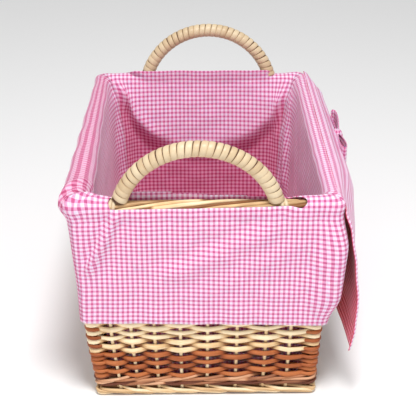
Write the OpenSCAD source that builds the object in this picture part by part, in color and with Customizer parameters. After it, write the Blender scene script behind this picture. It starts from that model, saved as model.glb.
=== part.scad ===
// Rectangular willow picnic basket with two fixed end handles and a removable gingham liner.
// The origin is the middle of the face it stands on, +Z is up, and the short sides face -Y and +Y.

/* [Basket] */
// Outside width of the woven wall at the foot, along X
base_w = 268; // [240:1:300]
// Outside length of the woven wall at the foot, along Y
base_l = 388; // [360:1:420]
// How far each wall leans out over the nominal height
flare = 15; // [10:1:18]
// Nominal height of the woven wall
height = 270; // [260:1:280]

/* [Weave] */
// Diameter of an upright stake
stake_d = 4; // [3:0.5:4]
// Thickness of one weaver
strand_t = 3; // [2.5:0.1:3]
// Height of one weaver row, gap included
row_pitch = 6.2; // [5:0.1:6.2]
// Rows of brown weavers
brown_rows = 6; // [4:1:6]
// Rows of natural weavers
natural_rows = 28; // [20:1:28]
// Stakes in a short wall
stakes_short = 8; // [6:1:9]
// Stakes in a long wall
stakes_long = 12; // [10:1:13]
// How far the stakes of the front bunch to the left
front_bunch = 16; // [0:1:18]

/* [Handles] */
// Radius of the handle arch, to the middle of the grip
arch_r = 91; // [85:1:92]
// Diameter of the wrapped grip
grip_d = 18.4; // [16:0.2:18.6]
// Turns of cane peel around one handle
wrap_turns = 25; // [12:1:30]
// Sideways offset of each handle, seen from its own end
handle_shift = -9; // [-12:1:0]
// How far each handle leans outward, in degrees
handle_lean = 5; // [0:1:8]

/* [Liner] */
// Thickness of the doubled cotton cloth
cloth_t = 1.5; // [1:0.1:1.5]
// Height of the cuff's hem above the ground
hem_z = 104; // [90:1:140]
// Height of the side flap's hem above the ground
flap_hem_z = 76; // [60:1:120]
// Half the length of each end slot, which clears the handle
slot_half = 110; // [108:1:114]

/* [Hidden] */

FRONT = 0;
RIGHT = 1;
BACK = 2;
LEFT = 3;

natural = "#d8b87f";
brown = "#9c5a34";
peel = "#e3cfa0";
gingham = "#ee9cc4";
far = 500; // longer than anything here, for cutting tools
gap = 0.2; // clearance between neighbouring pieces

// Woven wall: a stake in the middle, and a weaver on each side of it
amp = stake_d / 2 + gap + strand_t / 2;
wall_t = 2 * amp + strand_t;
tilt = atan(flare / height);
strand_h = row_pitch - 0.4;

// Levels, from the ground up
foot_h = 12.3;
foot_t = 12;
wale_h = 13.4;
lower_wale_v = foot_h + 0.5;
brown_v = lower_wale_v + wale_h + 0.3;
natural_v = brown_v + brown_rows * row_pitch;
upper_wale_v = 240;
post_top_z = 253.5;
rim_z = 258;

// Base: straight sticks with weavers over and under them
stick_d = 6;
stick_count = 6;
base_z = 7;
base_strand_t = 2.6;
base_pitch = 13;
base_amp = stick_d / 2 + gap + base_strand_t / 2;

// Rim: two rods side by side and one on top of them, all round
rim_rod_d = 7;
rim_rod_off = 5.7;
top_rod_d = 9;
top_rod_z = rim_z + 5.8;
rim_in = wall_t / 2 - rim_z * tan(tilt); // from the foot's outer line in to the rim's middle line

// Handles
arch_z = 245;
core_d = 11;
wrap_half_angle = 70;
core_half_angle = 73;
tenon_w = 8;
tenon_t = 4;
tenon_bottom_z = 241;
leg_off = arch_r * sin(core_half_angle);
lash_r = 6.1;
lash_t = 2;
lash_w = 6;
lash_z = 262.3;

// Liner: it clears the rim by the same distance inside and outside
roll_r = 9.8;
roll_z = 260;
roll_foot_z = 252;
inner_y = wall_t / 2 + roll_r; // in from the wall's outer face
cuff_y = roll_r - wall_t / 2; // out from the wall's outer face
floor_z = 14.2;
slot_shift = 2;
slot_inner_z = 270;
slot_outer_z = 261.8;
return_len = 35;

// Side flap and its bow
flap_x = 155.4;
flap_top_z = 261.5;
flap_belly = 9;
flap_kick = 5;
flap_half = 212;
flap_steps = 14;
bow_x = 162.2;
bow_y = 20;
bow_z = 246;
loop_r = 12.5;
loop_reach = 58;
loop_depth = 13;
knot_r = 8;
knot_h = 22;
tail_x = 168.9;
tail_w = 24;
tail_l = 52;

// Half the distance between two opposite walls' outer faces at the foot, and half a wall's own length there
function off_half(k) = (k % 2 == 0 ? base_l : base_w) / 2;
function len_half(k) = (k % 2 == 0 ? base_w : base_l) / 2;
// Half a wall's length at v, measured up its slope
function wall_half(k, v) = len_half(k) + v * sin(tilt);
function stakes_in(k) = k % 2 == 0 ? stakes_short : stakes_long;
// How far a place on the front, from -1 to 1 along it, moves left as the stakes bunch there
function bunched(k, x) = k == FRONT ? front_bunch * max(0, 1 - pow(x + 0.25, 2) / 0.55) : 0;
// Place along the wall of stake i, where 0 and count + 1 are the corner posts
function stake_u(k, i, v) = let (x = 2 * i / (stakes_in(k) + 1) - 1) x * (wall_half(k, v) - wall_t) - bunched(k, x);
// The stake that a handle's leg takes the place of ends under the upper wale
function near_leg(u) = min(abs(u - handle_shift - leg_off), abs(u - handle_shift + leg_off)) < 8;

// Turns a piece drawn for the front side to side k
module side(k) rotate([0, 0, 90 * k]) children();

// The frame of a leaning wall: x along it, y inwards from its outer face, z up its slope
module on_wall(k) side(k) translate([0, -off_half(k), 0]) rotate([tilt, 0, 0]) children();

// The upright frame of a rim side: y is 0 on the rim's middle line and grows inwards
module on_rim(k) side(k) translate([0, -off_half(k) + rim_in, 0]) children();

// A profile drawn in y and z, run along x
module along(x0, x1) translate([x0, 0, 0]) rotate([90, 0, 90]) linear_extrude(x1 - x0) children();

// A round rod between two points
module rod(p, q, d) {
    axis = q - p;
    translate(p)
        rotate([0, acos(axis[2] / norm(axis)), atan2(axis[1], axis[0])])
            cylinder(d = d, h = norm(axis), $fn = 32);
}

// The part of the plan that belongs to side k, with mitred corners
module mitre(k, clear = gap / 2) {
    delta = abs(base_l - base_w) / 2;
    near = k % 2 == 0 ? delta + clear : 0;
    wide = k % 2 == 0 ? 0 : delta - clear;
    side(k) translate([0, 0, -far / 2]) linear_extrude(2 * far)
        polygon([[-wide, -near], [wide, -near], [wide + far, -near - far], [-wide - far, -near - far]]);
}

module foot_border() color(natural) difference() {
    linear_extrude(foot_h) square([base_w, base_l], center = true);
    translate([0, 0, -1]) linear_extrude(foot_h + 2)
        square([base_w - 2 * foot_t, base_l - 2 * foot_t], center = true);
}

module base_sticks() color(natural) {
    pitch = (base_w - 2 * foot_t) / stick_count;
    reach = base_l / 2 - foot_t - 0.5;
    for (i = [0 : stick_count - 1])
        rod([(i + 0.5 - stick_count / 2) * pitch, -reach, base_z],
            [(i + 0.5 - stick_count / 2) * pitch, reach, base_z], stick_d);
}

// A strip of constant thickness that passes each place in at on alternate sides, from start to stop
module zigzag(at, start, stop, swing, t, flat, phase) {
    n = len(at);
    turn = [for (i = [0 : n - 1]) for (s = [-flat, flat]) [at[i] + s, (i + phase) % 2 == 0 ? swing : -swing]];
    line = concat([[start, -turn[0][1]]], turn, [[stop, -turn[2 * n - 1][1]]]);
    last = len(line) - 1;
    polygon(concat([for (p = line) p + [0, t / 2]], [for (i = [last : -1 : 0]) line[i] - [0, t / 2]]));
}

module base_weave() color(natural) {
    pitch = (base_w - 2 * foot_t) / stick_count;
    sticks = [for (i = [0 : stick_count - 1]) (i + 0.5 - stick_count / 2) * pitch];
    half = base_w / 2 - foot_t - 0.5;
    rows = floor((base_l - 2 * foot_t) / base_pitch);
    for (r = [0 : rows - 1])
        translate([0, (r - rows / 2 + 1) * base_pitch - 0.2, base_z]) rotate([90, 0, 0])
            linear_extrude(base_pitch - 0.4)
                zigzag(sticks, -half, half, base_amp, base_strand_t, stick_d * 0.7, r);
}

module corner_post(x, y) color(brown) {
    at = wall_t / 2;
    lean = post_top_z * tan(tilt);
    rod([x * (base_w / 2 - at), y * (base_l / 2 - at), 2],
        [x * (base_w / 2 - at + lean), y * (base_l / 2 - at + lean), post_top_z], wall_t - 0.8);
}

module stakes(k) color(natural) on_wall(k)
    for (i = [1 : stakes_in(k)]) {
        short = k % 2 == 0 && near_leg(stake_u(k, i, upper_wale_v));
        top = short ? upper_wale_v - 0.5 : post_top_z;
        rod([stake_u(k, i, 3), wall_t / 2, 3], [stake_u(k, i, top), wall_t / 2, top], stake_d);
    }

// Bars inside and outside the stakes, which stand for three-rod waling
module wale(v, tone) color(tone)
    for (k = [FRONT : LEFT], y = [0, wall_t - strand_t])
        on_wall(k) translate([0, y + strand_t, v]) rotate([90, 0, 0]) linear_extrude(strand_t)
            polygon([[-wall_half(k, v) + wall_t, 0], [wall_half(k, v) - wall_t, 0],
                [wall_half(k, v + wale_h) - wall_t, wale_h], [-wall_half(k, v + wale_h) + wall_t, wale_h]]);

// One wall's weavers: each row is a strand of its own, and passes the stakes on the other side from the last
module weave(k, rows, start_v, tone) color(tone) on_wall(k)
    for (r = [0 : rows - 1]) {
        v = start_v + r * row_pitch;
        end = wall_half(k, v) - wall_t - 0.3;
        translate([0, wall_t / 2, v]) linear_extrude(strand_h)
            zigzag([for (i = [1 : stakes_in(k)]) stake_u(k, i, v)], -end, end, amp, strand_t, 3.2, r + k);
    }

module rim_rods(off, z, d) for (k = [FRONT : LEFT])
    intersection() {
        on_rim(k) translate([-far / 2, off, z]) rotate([0, 90, 0]) cylinder(d = d, h = far, $fn = 48);
        mitre(k);
    }

// The rod on top, broken at each handle leg
module rim_rods_top() color(natural) {
    legs = [handle_shift - leg_off, handle_shift + leg_off];
    clear = tenon_w / 2 + gap;
    spans = [[-far / 2, legs[0] - clear], [legs[0] + clear, legs[1] - clear], [legs[1] + clear, far / 2]];
    for (k = [FRONT : LEFT], s = k % 2 == 0 ? spans : [[-far / 2, far / 2]])
        intersection() {
            on_rim(k) translate([s[0], 0, top_rod_z]) rotate([0, 90, 0])
                cylinder(d = top_rod_d, h = s[1] - s[0], $fn = 48);
            mitre(k);
        }
}

// An arc of the handle, from one angle to another, measured from the top of the arch
module arch(a0, a1) translate([handle_shift, 0, rim_z]) rotate([handle_lean, 0, 0])
    translate([0, 0, arch_z - rim_z]) rotate([90, 0, 0]) rotate([0, 0, 90 - a1])
    rotate_extrude(angle = a1 - a0, $fn = 96) translate([arch_r, 0]) children();

module handle_core(k) color(brown) on_rim(k) {
    arch(-core_half_angle, core_half_angle) circle(d = core_d, $fn = 32);
    for (s = [-1, 1])
        translate([handle_shift + s * leg_off - tenon_w / 2, -tenon_t / 2, tenon_bottom_z])
            cube([tenon_w, tenon_t, arch_z + arch_r * cos(core_half_angle) - tenon_bottom_z + 1]);
}

module handle_wrap(k) color(peel) on_rim(k) {
    step = 2 * wrap_half_angle / wrap_turns;
    for (i = [0 : wrap_turns - 1])
        arch(-wrap_half_angle + i * step + 0.12, -wrap_half_angle + (i + 1) * step - 0.12)
            difference() {
                circle(d = grip_d, $fn = 48);
                circle(d = core_d + 0.2, $fn = 48);
            }
}

// A strap of peel over the rim beside each leg
module handle_lashing(k) color(peel) on_rim(k) for (s = [-1, 1]) {
    u = handle_shift + s * (leg_off + 8);
    along(u - lash_w / 2, u + lash_w / 2) intersection() {
        translate([0, lash_z]) difference() {
            circle(r = lash_r + lash_t, $fn = 64);
            circle(r = lash_r, $fn = 64);
        }
        translate([-far / 2, lash_z]) square([far, far]);
    }
}

module liner_floor() color(gingham) {
    in = inner_y - floor_z * tan(tilt) + gap;
    translate([in - base_w / 2, in - base_l / 2, floor_z]) cube([base_w - 2 * in, base_l - 2 * in, cloth_t]);
}

// A leaning sheet whose outer face is y inside the wall's, and whose ends are inset from the corner
module sheet(k, y, inset, v0, v1) on_wall(k) translate([0, y + cloth_t, 0]) rotate([90, 0, 0])
    linear_extrude(cloth_t)
        polygon([[-wall_half(k, v0) + inset, v0], [wall_half(k, v0) - inset, v0],
            [wall_half(k, v1) - inset, v1], [-wall_half(k, v1) + inset, v1]]);

module liner_wall(k) color(gingham)
    sheet(k, inner_y, inner_y + (k % 2 == 0 ? cloth_t + gap : gap), floor_z + cloth_t + 0.8, roll_foot_z - 0.9);

// Cloth over the rim: half a ring, with a straight leg on each side
module roll_profile(outer_foot_z) difference() {
    union() {
        translate([0, roll_z]) circle(r = roll_r + cloth_t, $fn = 64);
        translate([-roll_r - cloth_t, outer_foot_z]) square([roll_r + cloth_t, roll_z - outer_foot_z]);
        translate([0, roll_foot_z]) square([roll_r + cloth_t, roll_z - roll_foot_z]);
    }
    translate([0, roll_z]) circle(r = roll_r, $fn = 64);
    translate([-roll_r, 0]) square([2 * roll_r, roll_z]);
    translate([-far / 2, 0]) square([far / 2, outer_foot_z]);
    translate([-far / 2, 0]) square([far, roll_foot_z]);
}

module roll_stretch(k, x0, x1, outer_foot_z) intersection() {
    on_rim(k) along(x0, x1) roll_profile(outer_foot_z);
    mitre(k);
}

module rim_roll(k) color(gingham)
    if (k % 2 == 0) {
        roll_stretch(k, -far / 2, slot_shift - slot_half, roll_foot_z);
        roll_stretch(k, slot_shift + slot_half, far / 2, roll_foot_z);
    } else
        roll_stretch(k, -far / 2, far / 2, k == RIGHT ? flap_top_z + 0.8 : roll_foot_z);

// The hemmed cloth along both sides of an end slot
module slot_hem(k) color(gingham) on_rim(k) {
    x0 = slot_shift - slot_half + gap;
    length = 2 * slot_half - 2 * gap;
    translate([x0, roll_r, roll_foot_z]) cube([length, cloth_t, slot_inner_z - roll_foot_z]);
    translate([x0, -roll_r - cloth_t, roll_foot_z]) cube([length, cloth_t, slot_outer_z - roll_foot_z]);
}

module cuff(k) color(gingham)
    sheet(k, -cuff_y - cloth_t, -cuff_y - (k % 2 == 0 ? -gap : cloth_t), hem_z, roll_foot_z - 0.3);

// The short stretch of cuff that turns a right-hand corner, under the flap
module cuff_return(end) color(gingham) intersection() {
    sheet(RIGHT, -cuff_y - cloth_t, -cuff_y - cloth_t, hem_z, roll_foot_z - 0.3);
    translate([0, end * (base_l / 2 + far / 2 + hem_z * tan(tilt) - return_len), 0])
        cube([far, far, far * 2], center = true);
}

// The flap hangs from the rim and bellies away from the wall
function flap_line(t) = [flap_x + flap_belly * sin(180 * t) + flap_kick * t,
    flap_top_z - t * (flap_top_z - flap_hem_z)];

module side_flap() color(gingham) translate([0, flap_half, 0]) rotate([90, 0, 0]) linear_extrude(2 * flap_half)
    polygon(concat([for (i = [0 : flap_steps]) flap_line(i / flap_steps)],
        [for (i = [flap_steps : -1 : 0]) flap_line(i / flap_steps) + [cloth_t, 0]]));

module bow_knot() color(gingham) translate([bow_x + knot_r, bow_y, bow_z - knot_h / 2])
    rotate_extrude($fn = 48) intersection() {
        translate([-16, knot_h / 2]) circle(r = 16 + knot_r, $fn = 96);
        square([knot_r, knot_h]);
    }

// A puffed loop, round at its far end and narrow at the knot
// Drawn for the front loop, and turned half round for the back one
module bow_loop(turn) color(gingham) translate([bow_x, bow_y, bow_z]) rotate([90, 0, 90]) rotate([0, 0, turn])
    linear_extrude(loop_depth) union() {
        translate([loop_r - loop_reach, 0]) circle(r = loop_r, $fn = 48);
        polygon([[-knot_r - 0.5, -5], [-knot_r - 0.5, 5],
            [1.2 * loop_r - loop_reach, 0.95 * loop_r], [1.2 * loop_r - loop_reach, -0.95 * loop_r]]);
    }

module bow_tail(s) color(gingham) translate([tail_x, bow_y, bow_z - loop_r - 1]) rotate([90, 0, 90])
    linear_extrude(cloth_t)
        polygon([[s * 1, 0], [s * 10, 0], [s * (16 + tail_w), -tail_l + 8], [s * 16, -tail_l]]);

foot_border();
base_sticks();
base_weave();
corner_post(-1, -1);  // corner_post_front_left
corner_post(1, -1);  // corner_post_front_right
corner_post(1, 1);  // corner_post_back_right
corner_post(-1, 1);  // corner_post_back_left
stakes(FRONT);  // stakes_front
stakes(RIGHT);  // stakes_right
stakes(BACK);  // stakes_back
stakes(LEFT);  // stakes_left
wale(lower_wale_v, brown);  // lower_wale
wale(upper_wale_v, natural);  // upper_wale
weave(FRONT, brown_rows, brown_v, brown);  // brown_weave_front
weave(RIGHT, brown_rows, brown_v, brown);  // brown_weave_right
weave(BACK, brown_rows, brown_v, brown);  // brown_weave_back
weave(LEFT, brown_rows, brown_v, brown);  // brown_weave_left
weave(FRONT, natural_rows, natural_v, natural);  // natural_weave_front
weave(RIGHT, natural_rows, natural_v, natural);  // natural_weave_right
weave(BACK, natural_rows, natural_v, natural);  // natural_weave_back
weave(LEFT, natural_rows, natural_v, natural);  // natural_weave_left
color(natural) rim_rods(-rim_rod_off, rim_z, rim_rod_d);  // rim_rods_outer
color(natural) rim_rods(rim_rod_off, rim_z, rim_rod_d);  // rim_rods_inner
rim_rods_top();
handle_core(FRONT);  // handle_core_front
handle_core(BACK);  // handle_core_back
handle_wrap(FRONT);  // handle_wrap_front
handle_wrap(BACK);  // handle_wrap_back
handle_lashing(FRONT);  // handle_lashing_front
handle_lashing(BACK);  // handle_lashing_back
liner_floor();
liner_wall(FRONT);  // liner_wall_front
liner_wall(RIGHT);  // liner_wall_right
liner_wall(BACK);  // liner_wall_back
liner_wall(LEFT);  // liner_wall_left
rim_roll(FRONT);  // rim_roll_front
rim_roll(RIGHT);  // rim_roll_right
rim_roll(BACK);  // rim_roll_back
rim_roll(LEFT);  // rim_roll_left
slot_hem(FRONT);  // slot_hem_front
slot_hem(BACK);  // slot_hem_back
cuff(FRONT);  // cuff_front
cuff(BACK);  // cuff_back
cuff(LEFT);  // cuff_left
cuff_return(-1);  // cuff_return_front
cuff_return(1);  // cuff_return_back
side_flap();
bow_knot();
bow_loop(0);  // bow_loop_front
bow_loop(180);  // bow_loop_back
bow_tail(-1);  // bow_tail_front
bow_tail(1);  // bow_tail_back
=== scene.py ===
"""The looks of the willow picnic basket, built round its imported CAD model."""

import math

import bmesh
import bpy
import numpy as np
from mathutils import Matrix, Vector


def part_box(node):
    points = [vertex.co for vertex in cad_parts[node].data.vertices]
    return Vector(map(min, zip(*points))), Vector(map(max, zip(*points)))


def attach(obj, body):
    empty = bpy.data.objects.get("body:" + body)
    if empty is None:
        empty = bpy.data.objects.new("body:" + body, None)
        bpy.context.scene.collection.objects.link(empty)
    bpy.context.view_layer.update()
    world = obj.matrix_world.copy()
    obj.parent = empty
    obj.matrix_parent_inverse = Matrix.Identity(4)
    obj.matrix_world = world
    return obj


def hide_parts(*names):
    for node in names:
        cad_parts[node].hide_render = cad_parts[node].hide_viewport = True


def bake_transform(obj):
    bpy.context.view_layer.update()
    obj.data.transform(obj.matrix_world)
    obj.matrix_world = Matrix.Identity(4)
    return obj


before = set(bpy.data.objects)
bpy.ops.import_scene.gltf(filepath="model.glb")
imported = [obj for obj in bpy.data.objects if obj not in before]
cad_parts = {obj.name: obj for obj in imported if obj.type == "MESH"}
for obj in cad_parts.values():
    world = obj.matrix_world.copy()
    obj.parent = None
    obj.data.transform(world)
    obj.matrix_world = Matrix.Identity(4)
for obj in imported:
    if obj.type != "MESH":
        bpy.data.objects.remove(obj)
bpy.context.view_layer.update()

MM = 0.001  # lengths are in mm here, and in metres in the materials, the lamps and the camera
rng = np.random.default_rng(11)


def node_box(name):
    """A CAD node's lowest and highest corner, in mm."""
    lo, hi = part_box(name)
    return np.array(lo) / MM, np.array(hi) / MM


# ---- sizes, from the frame
WALL = 10.4  # thickness of the woven wall
STAKES = (8, 12, 8, 12)  # front, right, back, left
FRONT_BUNCH = 16.0  # how far the front's stakes bunch to the left
BROWN_ROWS, NATURAL_ROWS = 6, 28

foot_hi = node_box("foot_border")[1]
top_rod_lo, top_rod_hi = node_box("rim_rods_top")
rod_lo, rod_hi = node_box("rim_rods_inner")
brown_lo, brown_hi = node_box("brown_weave_front")
natural_lo, natural_hi = node_box("natural_weave_front")
low_wale_lo, low_wale_hi = node_box("lower_wale")
up_wale_lo = node_box("upper_wale")[0]
cuff_lo = node_box("cuff_front")[0]
floor_lo, floor_hi = node_box("liner_floor")
slot_lo, slot_hi = node_box("slot_hem_front")
flap_lo, flap_hi = node_box("side_flap")
knot_lo, knot_hi = node_box("bow_knot")
wrap_lo, wrap_hi = node_box("handle_wrap_front")
lash_lo, lash_hi = node_box("handle_lashing_front")

RIM_Z = (rod_lo[2] + rod_hi[2]) / 2
HALF_W = foot_hi[0] - WALL / 2  # the wall's middle line at the ground, from the middle of the basket
HALF_L = foot_hi[1] - WALL / 2
# How far out the wall leans for each mm of its height.
LEAN = (top_rod_hi[0] - (top_rod_hi[2] - top_rod_lo[2]) / 2 - HALF_W) / RIM_Z
SIDES = ("front", "right", "back", "left")
FRONT, RIGHT, BACK, LEFT = range(4)
ALONG = np.array([(1, 0), (0, 1), (-1, 0), (0, -1)], float)  # to the right, seen from outside
OUT = np.array([(0, -1), (1, 0), (0, 1), (-1, 0)], float)


def half(k, z):
    """Half the length of side k's middle line at height z, and its distance from the middle of the basket."""
    w, d = HALF_W + LEAN * z, HALF_L + LEAN * z
    return (w, d) if k % 2 == 0 else (d, w)


def smooth(x):
    """Eases from 0 to 1 while x goes from 0 to 1."""
    x = np.clip(x, 0, 1)
    return x * x * (3 - 2 * x)


# ---- mesh building


def unit(vectors):
    return vectors / np.linalg.norm(vectors, axis=1)[:, None]


def uv_grid(down, along):
    """A UV in metres for every row and column, from the rows' and the columns' places."""
    return np.stack(np.broadcast_arrays(down[:, None], along[None, :]), -1) * MM


class Shape:
    """Collects grids of points into one mesh, with a UV in metres and a tone for every point."""

    def __init__(self):
        self.points, self.faces, self.uvs, self.tones, self.count = [], [], [], [], 0

    def grid(self, points, uv, tone=0.5, wrap_rows=False, wrap_cols=False, keep=None, caps=False):
        """Rows and columns of points. uv has one more row or column where they wrap; keep picks the faces."""
        rows, cols = points.shape[:2]
        index = np.arange(rows * cols).reshape(rows, cols) + self.count
        if wrap_rows:
            index = np.vstack([index, index[:1]])
        if wrap_cols:
            index = np.hstack([index, index[:, :1]])
        quads = np.stack([index[:-1, :-1], index[:-1, 1:], index[1:, 1:], index[1:, :-1]], -1)
        corners = np.stack([uv[:-1, :-1], uv[:-1, 1:], uv[1:, 1:], uv[1:, :-1]], 2)
        if keep is None:
            keep = np.ones(quads.shape[:2], bool)
        self.faces += quads[keep].tolist()
        self.uvs.append(corners[keep].reshape(-1, 2))
        if caps:
            for ring, row in ((index[0][::-1], 0), (index[-1], -1)):
                ring = ring[:-1] if wrap_cols else ring
                self.faces.append(ring.tolist())
                self.uvs.append(np.repeat(uv[row, :1], len(ring), 0))
        self.points.append(points.reshape(-1, 3))
        self.tones.append(np.broadcast_to(tone, (rows, cols)).reshape(-1))
        self.count += rows * cols

    def tube(self, path, wide, tall, tone=0.5, closed=False, sides=8, up=(0, 0, 1)):
        """A round or oval rod along path: wide is its half width across up, tall its half height along up."""
        n = len(path)
        if closed:
            tangent = np.roll(path, -1, 0) - np.roll(path, 1, 0)
        else:
            tangent = np.gradient(path, axis=0)
        tangent = unit(tangent)
        side = unit(np.cross(tangent, np.broadcast_to(np.array(up, float), (n, 3))))
        over = np.cross(side, tangent)
        angle = np.linspace(0, 2 * math.pi, sides, endpoint=False)
        wide, tall = np.broadcast_to(wide, n), np.broadcast_to(tall, n)
        points = (path[:, None] + np.cos(angle)[None, :, None] * (wide[:, None] * side)[:, None]
                  + np.sin(angle)[None, :, None] * (tall[:, None] * over)[:, None])
        steps = np.linalg.norm(np.diff(np.vstack([path, path[:1]]), axis=0), axis=1)
        length = np.concatenate([[0], np.cumsum(steps)])[: n + closed]
        round_ = np.linspace(0, 1, sides + 1) * 2 * math.pi * float(np.mean(tall))
        tone = np.broadcast_to(np.asarray(tone, float), n)[:, None] * np.ones((1, sides))
        self.grid(points, uv_grid(length, round_), tone, wrap_rows=closed, wrap_cols=True, caps=not closed)

    def build(self, name, look, body="basket", replaces=(), recalc=True):
        """Makes the piece. Its look is a material and the name of its slot; the slot's name is not used."""
        material, slot = look
        mesh = bpy.data.meshes.new(name)
        mesh.from_pydata((np.vstack(self.points) * MM).tolist(), [], self.faces)
        uvs = mesh.uv_layers.new(name="UVMap")
        uvs.data.foreach_set("uv", np.vstack(self.uvs).astype(np.float32).ravel())
        tone = mesh.attributes.new("tone", "FLOAT", "POINT")
        tone.data.foreach_set("value", np.concatenate(self.tones).astype(np.float32))
        mesh.polygons.foreach_set("use_smooth", np.ones(len(mesh.polygons), bool))
        if recalc:
            bm = bmesh.new()
            bm.from_mesh(mesh)
            bmesh.ops.recalc_face_normals(bm, faces=bm.faces)
            bm.to_mesh(mesh)
            bm.free()
        mesh.materials.append(material)
        piece = bpy.data.objects.new(name, mesh)
        bpy.context.scene.collection.objects.link(piece)
        if replaces:
            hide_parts(*replaces)
        if body:
            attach(piece, body)
        return piece


# ---- materials


class Nodes:
    """A short way to write a material's node tree."""

    def __init__(self, name):
        self.material = bpy.data.materials.new(name)
        self.material.use_nodes = True
        self.tree = self.material.node_tree
        self.shader = self.tree.nodes["Principled BSDF"]

    def add(self, kind, inputs=None, **settings):
        node = self.tree.nodes.new("ShaderNode" + kind)
        for key, value in settings.items():
            setattr(node, key, value)
        for key, value in (inputs or {}).items():
            self.put(node.inputs[key], value)
        return node

    def put(self, socket, value):
        if isinstance(value, bpy.types.NodeSocket):
            self.tree.links.new(value, socket)
        else:
            socket.default_value = value

    def math(self, operation, a, b=0.0, c=0.0, clamp=False):
        return self.add("Math", {0: a, 1: b, 2: c}, operation=operation, use_clamp=clamp).outputs[0]

    def ramp(self, value, stops):
        node = self.add("ValToRGB", {"Fac": value})
        elements = node.color_ramp.elements
        while len(elements) < len(stops):
            elements.new(0.5)
        for element, (position, colour) in zip(elements, stops):
            element.position = position
            element.color = (*colour, 1)
        return node.outputs["Color"]

    def mix(self, factor, a, b, blend="MIX"):
        node = self.add("Mix", data_type="RGBA", blend_type=blend)
        self.put(node.inputs["Factor"], factor)
        self.put(node.inputs["A"], a)
        self.put(node.inputs["B"], b)
        return node.outputs["Result"]

    def tone(self):
        return self.add("Attribute", attribute_name="tone", attribute_type="GEOMETRY").outputs["Fac"]

    def scaled_uv(self, u, v):
        uv = self.add("UVMap", uv_map="UVMap").outputs["UV"]
        return self.add("Mapping", {"Vector": uv, "Scale": (u, v, 1)}).outputs["Vector"]

    def noise(self, vector, scale, detail=3.0, roughness=0.55):
        inputs = {"Vector": vector, "Scale": scale, "Detail": detail, "Roughness": roughness}
        return self.add("TexNoise", inputs).outputs["Fac"]

    def bump(self, height, distance, strength):
        node = self.add("Bump", {"Height": height, "Distance": distance, "Strength": strength})
        self.put(self.shader.inputs["Normal"], node.outputs["Normal"])

    def set(self, **values):
        for key, value in values.items():
            self.put(self.shader.inputs[key.replace("_", " ")], value)


def willow(name, pale, middle, dark, middle_at=0.5):
    """A willow rod: long streaks, darker scars and knots, and a tone of its own, with painted shade added
    where rods pass behind others.
    """
    m = Nodes(name)
    tone = m.tone()
    streak = m.noise(m.scaled_uv(26, 900), 1.0, 4.0, 0.6)
    patch = m.noise(m.scaled_uv(22, 60), 1.0, 2.0)
    knot = m.noise(m.scaled_uv(95, 210), 1.0, 2.0)
    value = m.math("MULTIPLY_ADD", m.math("SUBTRACT", streak, 0.5), 1.0, tone)
    value = m.math("MULTIPLY_ADD", m.math("SUBTRACT", patch, 0.5), 1.1, value, clamp=True)
    colour = m.ramp(value, [(0.0, pale), (middle_at, middle), (1.0, dark)])
    scar = m.math("MULTIPLY", m.math("SUBTRACT", knot, 0.70, clamp=True), 6.0, clamp=True)
    scar_colour = tuple(0.30 * c for c in dark)
    m.set(Base_Color=m.mix(scar, colour, (*scar_colour, 1)))
    m.set(Roughness=m.math("MULTIPLY_ADD", streak, 0.3, 0.35))
    m.set(Specular_IOR_Level=0.35)
    m.bump(m.math("ADD", streak, m.math("MULTIPLY", scar, -0.6)), 0.0007, 0.8)
    return m.material


CHECK_REPEAT = 0.0058  # from one coloured stripe to the next, in metres
STRIPE_HALF, STRIPE_EDGE = 0.262, 18.0  # a stripe's half width in repeats, and how crisp its edge is
PAINTED_SHADE_PINK = ((0.40, 0.025, 0.09), (0.58, 0.11, 0.24), (0.70, 0.30, 0.44))  # painted shade's colours: deep, middle and light


def gingham(name, deep, middle, light):
    """Checked cotton. A high tone mixes in the deeper, darker colours of painted shade."""
    m = Nodes(name)
    uv = m.add("SeparateXYZ", {"Vector": m.add("UVMap", uv_map="UVMap").outputs["UV"]})
    stripes = []
    for axis in ("X", "Y"):
        at = m.math("FRACT", m.math("MULTIPLY_ADD", uv.outputs[axis], 1 / CHECK_REPEAT, 100.0))
        edge = m.math("ABSOLUTE", m.math("SUBTRACT", at, 0.5))
        stripes.append(m.math("MULTIPLY", m.math("SUBTRACT", STRIPE_HALF, edge), STRIPE_EDGE, clamp=True))
    both = m.math("MULTIPLY", m.math("ADD", *stripes), 0.5)
    colour = m.ramp(both, [(0.0, light), (0.5, middle), (1.0, deep)])
    tone = m.tone()
    # painted shade: a high tone mixes the checks towards deeper, darker pinks
    shaded_pink = m.ramp(both, [(0.0, PAINTED_SHADE_PINK[2]), (0.5, PAINTED_SHADE_PINK[1]), (1.0, PAINTED_SHADE_PINK[0])])
    colour = m.mix(m.math("MULTIPLY", m.math("SUBTRACT", tone, 0.5), 2.0, clamp=True), colour, shaded_pink)
    warp = m.noise(m.scaled_uv(2600, 60), 1.0, 1.0)
    weft = m.noise(m.scaled_uv(60, 2600), 1.0, 1.0)
    thread = m.math("ADD", warp, weft)
    soft = m.math("MULTIPLY_ADD", m.math("SUBTRACT", thread, 1.0), 0.55, 1.0)
    shade = m.add("CombineColor", {"Red": soft, "Green": soft, "Blue": soft}).outputs["Color"]
    m.set(Base_Color=m.mix(0.8, colour, shade, "MULTIPLY"), Roughness=0.85)
    m.set(Sheen_Weight=0.15, Sheen_Roughness=0.5)
    m.set(Subsurface_Weight=0.3, Subsurface_Scale=0.0015, Subsurface_Radius=(1.0, 0.25, 0.4))
    m.bump(thread, 0.00012, 0.35)
    return m.material


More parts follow.
